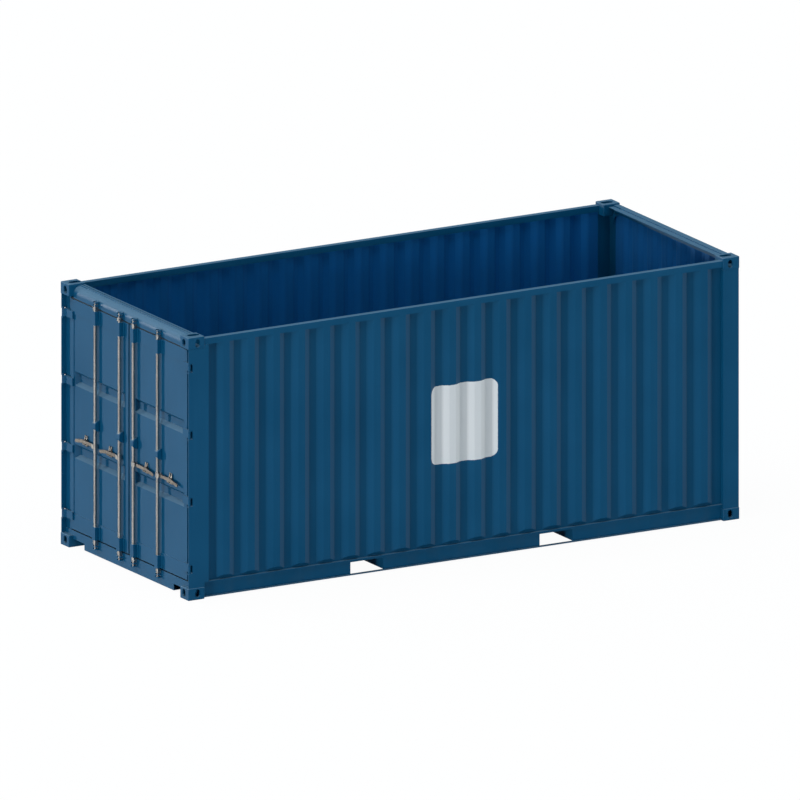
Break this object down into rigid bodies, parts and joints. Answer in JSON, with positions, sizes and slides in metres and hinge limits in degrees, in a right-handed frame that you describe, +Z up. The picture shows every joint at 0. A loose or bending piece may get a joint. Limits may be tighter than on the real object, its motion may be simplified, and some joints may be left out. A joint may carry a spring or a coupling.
{
  "type": "open-top shipping container",
  "caption": "Open-top steel cargo container with corrugated walls, end doors that swing on post hinges, turning lock bars with lifting handles, corner castings and fork pockets.",
  "frame": {"origin": "on the ground under the middle of the container's base", "axes": "+X along the length towards the closed front end, with the doors at -X; +Y to the left side seen from the doors looking in; +Z up"},
  "size_m": [6.058, 2.438, 2.591],
  "materials": {
    "blue_paint": "satin blue marine paint on steel",
    "zinc_steel": "dull galvanised steel",
    "seal_rubber": "matt black rubber",
    "floor_plywood": "oiled plywood"
  },
  "bodies": {
    "container": {"corner_castings": "blue_paint", "door_posts": "blue_paint", "front_posts": "blue_paint", "top_rails": "blue_paint", "bottom_rails": "blue_paint", "side_walls": "blue_paint", "fork_pockets": "blue_paint", "cross_members": "blue_paint", "floor_boards": "floor_plywood", "front_wall": "blue_paint", "front_top_rail": "blue_paint", "front_bottom_rail": "blue_paint", "corner_gussets": "blue_paint", "door_sill": "blue_paint", "door_header": "blue_paint", "hinge_pins": "blue_paint", "cam_keepers": "blue_paint"},
    "door_left": {"door_frame_left": "blue_paint", "door_panel_left": "blue_paint", "door_seal_left": "seal_rubber", "hinge_blades_left": "blue_paint", "bar_brackets_left": "blue_paint", "handle_catches_left": "zinc_steel"},
    "door_right": {"door_frame_right": "blue_paint", "door_panel_right": "blue_paint", "door_seal_right": "seal_rubber", "hinge_blades_right": "blue_paint", "bar_brackets_right": "blue_paint", "handle_catches_right": "zinc_steel"},
    "bar_inner_left": {"lock_bar_inner_left": "zinc_steel", "bar_cams_inner_left": "zinc_steel", "handle_hub_inner_left": "zinc_steel"},
    "handle_inner_left": {"bar_handle_inner_left": "zinc_steel"},
    "bar_outer_left": {"lock_bar_outer_left": "zinc_steel", "bar_cams_outer_left": "zinc_steel", "handle_hub_outer_left": "zinc_steel"},
    "handle_outer_left": {"bar_handle_outer_left": "zinc_steel"},
    "bar_inner_right": {"lock_bar_inner_right": "zinc_steel", "bar_cams_inner_right": "zinc_steel", "handle_hub_inner_right": "zinc_steel"},
    "handle_inner_right": {"bar_handle_inner_right": "zinc_steel"},
    "bar_outer_right": {"lock_bar_outer_right": "zinc_steel", "bar_cams_outer_right": "zinc_steel", "handle_hub_outer_right": "zinc_steel"},
    "handle_outer_right": {"bar_handle_outer_right": "zinc_steel"}
  },
  "joints": [
    {"name": "door_left_swing", "type": "hinge", "parent": "container", "child": "door_left", "pos_m": [-3.013, 1.202, 0.307], "axis": [0, 0, -1], "range_deg": [0, 265]},
    {"name": "door_right_swing", "type": "hinge", "parent": "container", "child": "door_right", "pos_m": [-3.013, -1.202, 0.307], "axis": [0, 0, 1], "range_deg": [0, 265]},
    {"name": "bar_inner_left_turn", "type": "hinge", "parent": "door_left", "child": "bar_inner_left", "pos_m": [-3.007, 0.133, 1.1], "axis": [0, 0, -1], "range_deg": [-95, 0]},
    {"name": "handle_inner_left_lift", "type": "hinge", "parent": "bar_inner_left", "child": "handle_inner_left", "pos_m": [-3.007, 0.166, 1.1], "axis": [-1, 0, 0], "range_deg": [-25, 0]},
    {"name": "bar_outer_left_turn", "type": "hinge", "parent": "door_left", "child": "bar_outer_left", "pos_m": [-3.007, 0.594, 1.1], "axis": [0, 0, -1], "range_deg": [-95, 0]},
    {"name": "handle_outer_left_lift", "type": "hinge", "parent": "bar_outer_left", "child": "handle_outer_left", "pos_m": [-3.007, 0.627, 1.1], "axis": [-1, 0, 0], "range_deg": [-25, 0]},
    {"name": "bar_inner_right_turn", "type": "hinge", "parent": "door_right", "child": "bar_inner_right", "pos_m": [-3.007, -0.133, 1.1], "axis": [0, 0, 1], "range_deg": [-95, 0]},
    {"name": "handle_inner_right_lift", "type": "hinge", "parent": "bar_inner_right", "child": "handle_inner_right", "pos_m": [-3.007, -0.166, 1.1], "axis": [1, 0, 0], "range_deg": [-25, 0]},
    {"name": "bar_outer_right_turn", "type": "hinge", "parent": "door_right", "child": "bar_outer_right", "pos_m": [-3.007, -0.594, 1.1], "axis": [0, 0, 1], "range_deg": [-95, 0]},
    {"name": "handle_outer_right_lift", "type": "hinge", "parent": "bar_outer_right", "child": "handle_outer_right", "pos_m": [-3.007, -0.627, 1.1], "axis": [1, 0, 0], "range_deg": [-25, 0]}
  ]
}
